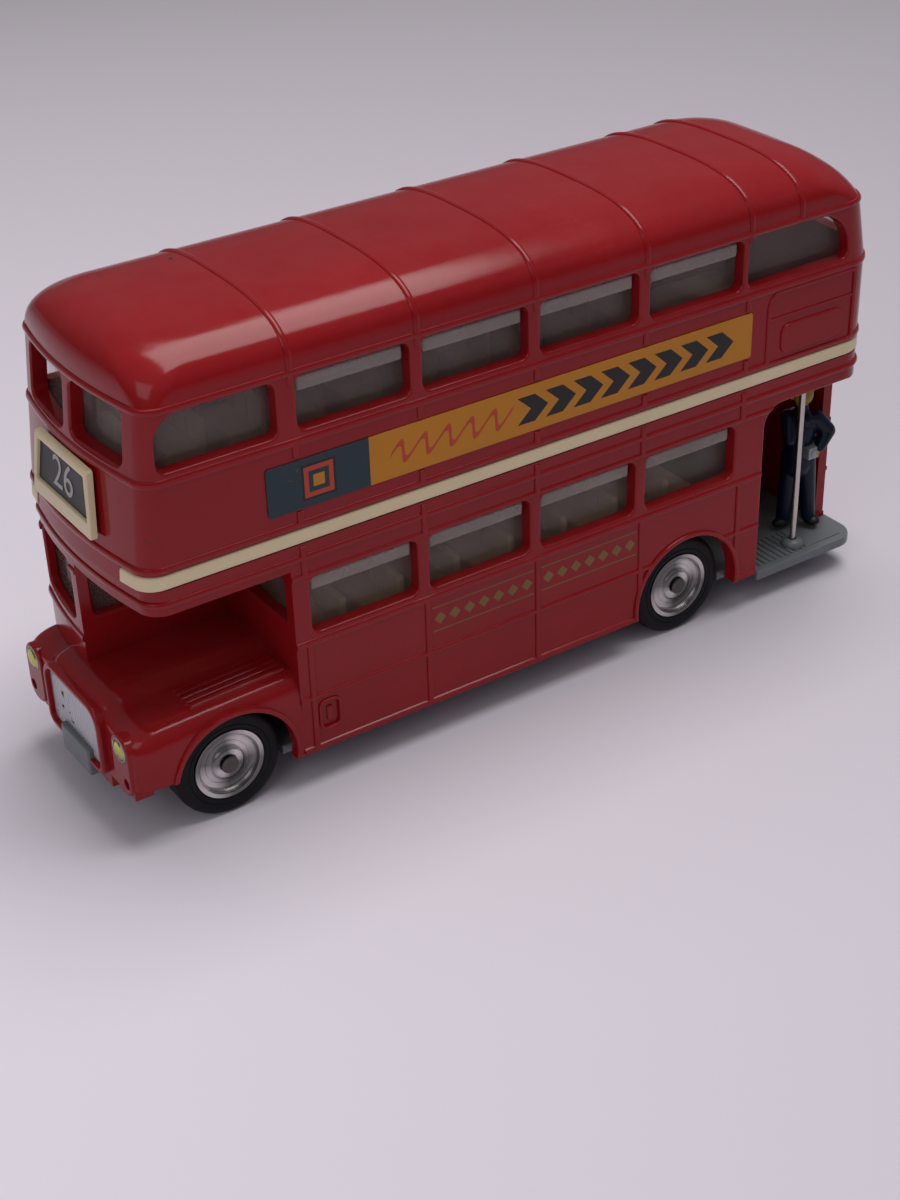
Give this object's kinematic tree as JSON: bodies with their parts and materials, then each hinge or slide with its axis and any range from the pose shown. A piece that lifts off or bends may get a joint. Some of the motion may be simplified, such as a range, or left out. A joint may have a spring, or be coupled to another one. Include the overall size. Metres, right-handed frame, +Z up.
{
  "type": "toy double-deck bus",
  "caption": "Diecast toy double-deck bus with a half cab, open rear platform, clear windows, seats, figures and free-rolling wheels.",
  "frame": {"origin": "centre of the footprint on the floor under the tyres", "axes": "+X to the rear of the bus, -Y to its nearside with the platform, +Z up"},
  "size_m": [0.115, 0.0322, 0.0627],
  "materials": {
    "red_paint": "glossy red enamel on cast zinc alloy",
    "cream_plastic": "semi-gloss moulded cream plastic",
    "seat_plastic": "semi-gloss moulded plastic, aged yellow",
    "clear_plastic": "clear moulded plastic, slightly smoky",
    "grey_paint": "semi-gloss grey paint on cast zinc alloy",
    "steel": "bright drawn steel",
    "dark_steel": "dull oxidised steel",
    "turned_aluminium": "bright turned aluminium with fine rings",
    "black_rubber": "matt black rubber",
    "jewel": "faceted yellowish clear jewel",
    "figure_plastic": "matt painted plastic, navy",
    "paper": "printed gummed paper",
    "black_paper": "printed black paper"
  },
  "bodies": {
    "bus": {"upper_body": "red_paint", "lower_body": "red_paint", "deck_moulding": "cream_plastic", "lower_seats": "seat_plastic", "upper_glazing": "clear_plastic", "lower_glazing": "clear_plastic", "cab_glazing": "clear_plastic", "base": "grey_paint", "destination_box": "cream_plastic", "destination_blind": "black_paper", "platform_pole": "steel", "conductor": "figure_plastic", "driver": "figure_plastic", "advert_nearside": "paper", "advert_offside": "paper", "headlamp_nearside": "jewel", "headlamp_offside": "jewel", "front_axle": "dark_steel", "rear_axle": "dark_steel", "front_rivet": "steel", "rear_rivet": "steel", "staircase": "seat_plastic"},
    "front_nearside_wheel": {"front_nearside_hub": "turned_aluminium", "front_nearside_tyre": "black_rubber"},
    "front_offside_wheel": {"front_offside_hub": "turned_aluminium", "front_offside_tyre": "black_rubber"},
    "rear_nearside_wheel": {"rear_nearside_hub": "turned_aluminium", "rear_nearside_tyre": "black_rubber"},
    "rear_offside_wheel": {"rear_offside_hub": "turned_aluminium", "rear_offside_tyre": "black_rubber"}
  },
  "joints": [
    {"name": "front_nearside_spin", "type": "hinge", "parent": "bus", "child": "front_nearside_wheel", "pos_m": [-0.044, 0, 0.0071], "axis": [0, 1, 0], "continuous": true},
    {"name": "front_offside_spin", "type": "hinge", "parent": "bus", "child": "front_offside_wheel", "pos_m": [-0.044, 0, 0.0071], "axis": [0, 1, 0], "continuous": true},
    {"name": "rear_nearside_spin", "type": "hinge", "parent": "bus", "child": "rear_nearside_wheel", "pos_m": [0.0252, 0, 0.0071], "axis": [0, 1, 0], "continuous": true},
    {"name": "rear_offside_spin", "type": "hinge", "parent": "bus", "child": "rear_offside_wheel", "pos_m": [0.0252, 0, 0.0071], "axis": [0, 1, 0], "continuous": true}
  ]
}
